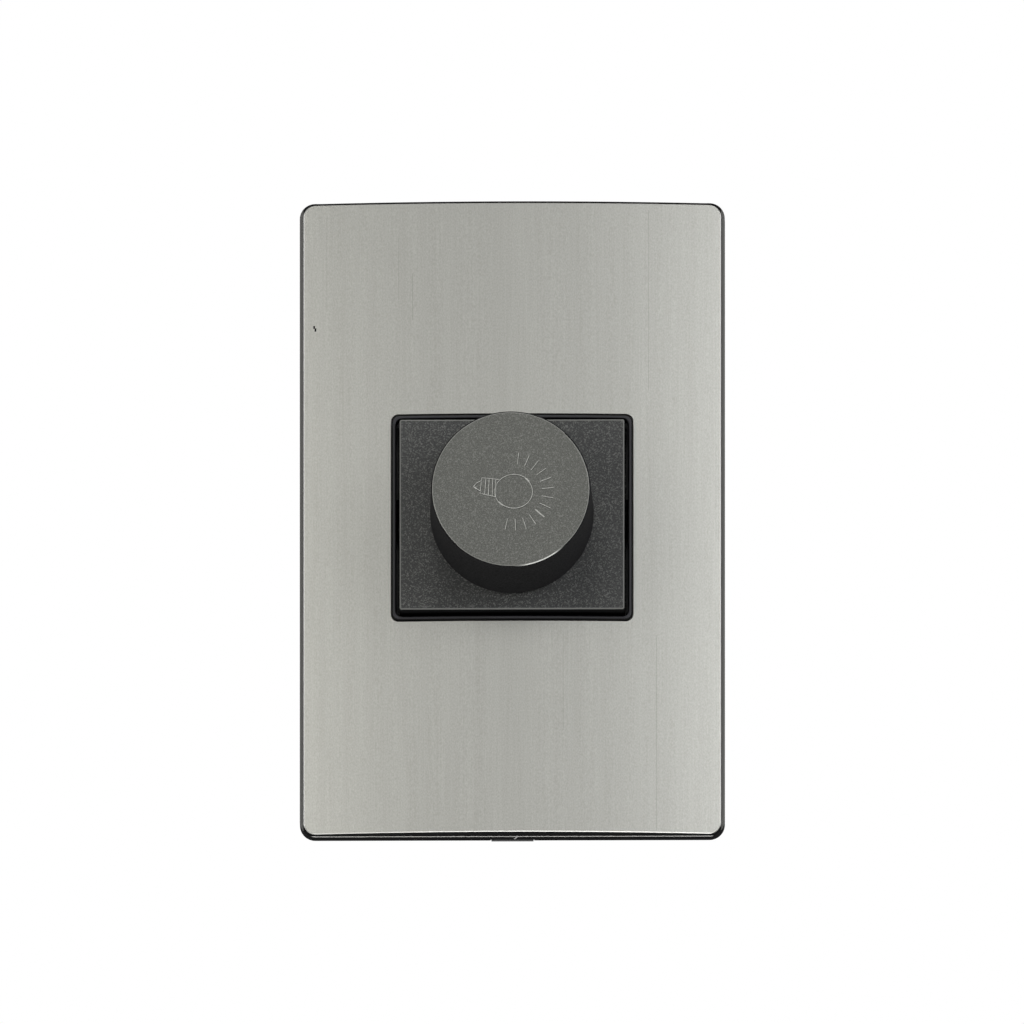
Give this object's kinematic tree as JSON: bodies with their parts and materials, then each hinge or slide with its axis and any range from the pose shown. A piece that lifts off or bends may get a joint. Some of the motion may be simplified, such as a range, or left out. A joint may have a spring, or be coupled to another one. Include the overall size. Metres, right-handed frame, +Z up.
{
  "type": "dimmer switch",
  "caption": "Wall dimmer: crowned brushed metal plate on a black clip-on cover, with a grey module tile and a large round knob that turns.",
  "frame": {"origin": "centre of the mounting frame's back face, on the wall's surface", "axes": "+Z up the plate, +Y into the wall, so the face looks along -Y; +X to the right seen from the front"},
  "size_m": [0.0798, 0.062, 0.1218],
  "materials": {
    "brushed_steel_sheet": "vertically brushed",
    "black_plastic": "moulded satin",
    "frame_plastic": "moulded matt",
    "grey_metallic_plastic": "fine metallic paint",
    "spring_steel": "rolled",
    "housing_plastic": "moulded matt",
    "plated_steel": "zinc plated",
    "nickel_brass": "nickel plated",
    "paper_laminate": "pressed laminate",
    "carbon_film": "printed film",
    "tinned_brass": "tinned",
    "ferrite": "sintered",
    "enamelled_copper": "enamelled wire",
    "moulded_epoxy": "moulded",
    "aluminium_sheet": "rolled",
    "capacitor_box": "moulded",
    "diode_glass": "clear",
    "resistor_lacquer": "lacquered",
    "fuse_glass": "clear",
    "bare_brass": "bright"
  },
  "bodies": {
    "base": {"bushing_nut": "nickel_brass", "bushing_washer": "plated_steel", "choke_core": "ferrite", "choke_winding": "enamelled_copper", "circuit_board": "paper_laminate", "control_bushing": "nickel_brass", "control_can": "plated_steel", "control_pins": "tinned_brass", "control_wafer": "paper_laminate", "cover_frame": "black_plastic", "face_panel": "brushed_steel_sheet", "film_capacitors": "capacitor_box", "fuse_clips": "tinned_brass", "fuse_tube": "fuse_glass", "heat_sink": "aluminium_sheet", "housing_cover": "housing_plastic", "housing_screws": "plated_steel", "module_clips": "spring_steel", "module_front": "grey_metallic_plastic", "module_housing": "housing_plastic", "mounting_frame": "frame_plastic", "resistor_track": "carbon_film", "resistors": "resistor_lacquer", "terminal_cages": "bare_brass", "terminal_screws": "plated_steel", "terminal_tongues": "bare_brass", "triac": "moulded_epoxy", "triac_screw": "plated_steel", "trigger_diode": "diode_glass"},
    "knob": {"control_rotor": "housing_plastic", "control_shaft": "nickel_brass", "dimmer_knob": "grey_metallic_plastic", "knob_spring": "spring_steel", "wiper_contact": "spring_steel"}
  },
  "joints": [
    {"name": "knob_turn", "type": "hinge", "parent": "base", "child": "knob", "pos_m": [0, 0, 0], "axis": [0, 1, 0], "range_deg": [-240, 60]}
  ]
}
